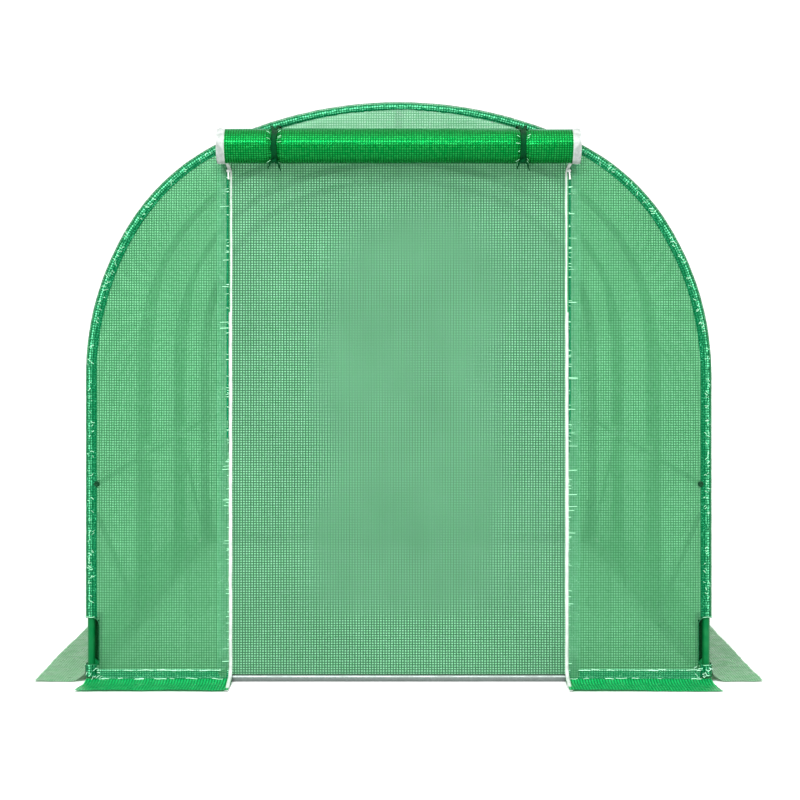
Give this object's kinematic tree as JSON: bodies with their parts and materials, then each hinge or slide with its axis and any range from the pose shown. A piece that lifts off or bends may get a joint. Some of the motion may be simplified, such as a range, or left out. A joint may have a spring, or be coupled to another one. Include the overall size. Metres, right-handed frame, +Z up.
{
  "type": "polytunnel greenhouse",
  "caption": "Round-arched tunnel greenhouse: tube hoops on a ground frame under a fitted translucent cover with ground skirts and a rolled-up zipped door over a mesh screen.",
  "frame": {"origin": "on the ground, at the middle of the tunnel's length and width", "axes": "-Y towards the end with the door, +X to the right as seen facing that door, +Z up"},
  "size_m": [2.358, 3.288, 1.8842],
  "materials": {
    "galvanised_tube": "galvanised steel tube, zinc grey with a soft sheen",
    "green_plastic": "moulded green plastic",
    "cover_fabric": "woven ripstop plastic sheet, translucent green",
    "sleeve_fabric": "two layers of the woven green sheet, welded, glossier",
    "skirt_fabric": "woven green plastic sheet, lying on the ground",
    "screen_mesh": "fine green insect mesh",
    "rolled_door_fabric": "woven green sheet wound in many layers, satin",
    "tie_webbing": "dark green woven tie tape",
    "zip_tape": "white nylon zip and its tape"
  },
  "bodies": {
    "root": {"base_rail_front": "galvanised_tube", "base_rail_left": "galvanised_tube", "base_rail_rear": "galvanised_tube", "base_rail_right": "galvanised_tube", "base_tee_left": "green_plastic", "base_tee_right": "green_plastic", "brace_left": "galvanised_tube", "brace_right": "galvanised_tube", "corner_foot_front_left": "green_plastic", "corner_foot_front_right": "green_plastic", "corner_foot_rear_left": "green_plastic", "corner_foot_rear_right": "green_plastic", "cover_bands": "sleeve_fabric", "door_post_left": "galvanised_tube", "door_post_right": "galvanised_tube", "door_roll": "rolled_door_fabric", "front_flap_left": "skirt_fabric", "front_flap_right": "skirt_fabric", "front_wall_left": "cover_fabric", "front_wall_right": "cover_fabric", "front_wall_top": "cover_fabric", "hoop_1": "galvanised_tube", "hoop_2": "galvanised_tube", "hoop_3": "galvanised_tube", "hoop_4": "galvanised_tube", "mesh_screen": "screen_mesh", "rail_caps": "green_plastic", "rear_flap": "skirt_fabric", "rear_wall": "cover_fabric", "ridge_rail": "galvanised_tube", "roll_zip_ends": "zip_tape", "roof_cover": "cover_fabric", "side_rail_left": "galvanised_tube", "side_rail_right": "galvanised_tube", "side_skirt_left": "skirt_fabric", "side_skirt_right": "skirt_fabric", "sleeve_front": "sleeve_fabric", "sleeve_rear": "sleeve_fabric", "tie_left": "tie_webbing", "tie_right": "tie_webbing", "zip_facing_left": "sleeve_fabric", "zip_facing_right": "sleeve_fabric", "zipper_left": "zip_tape", "zipper_right": "zip_tape"}
  },
  "joints": []
}
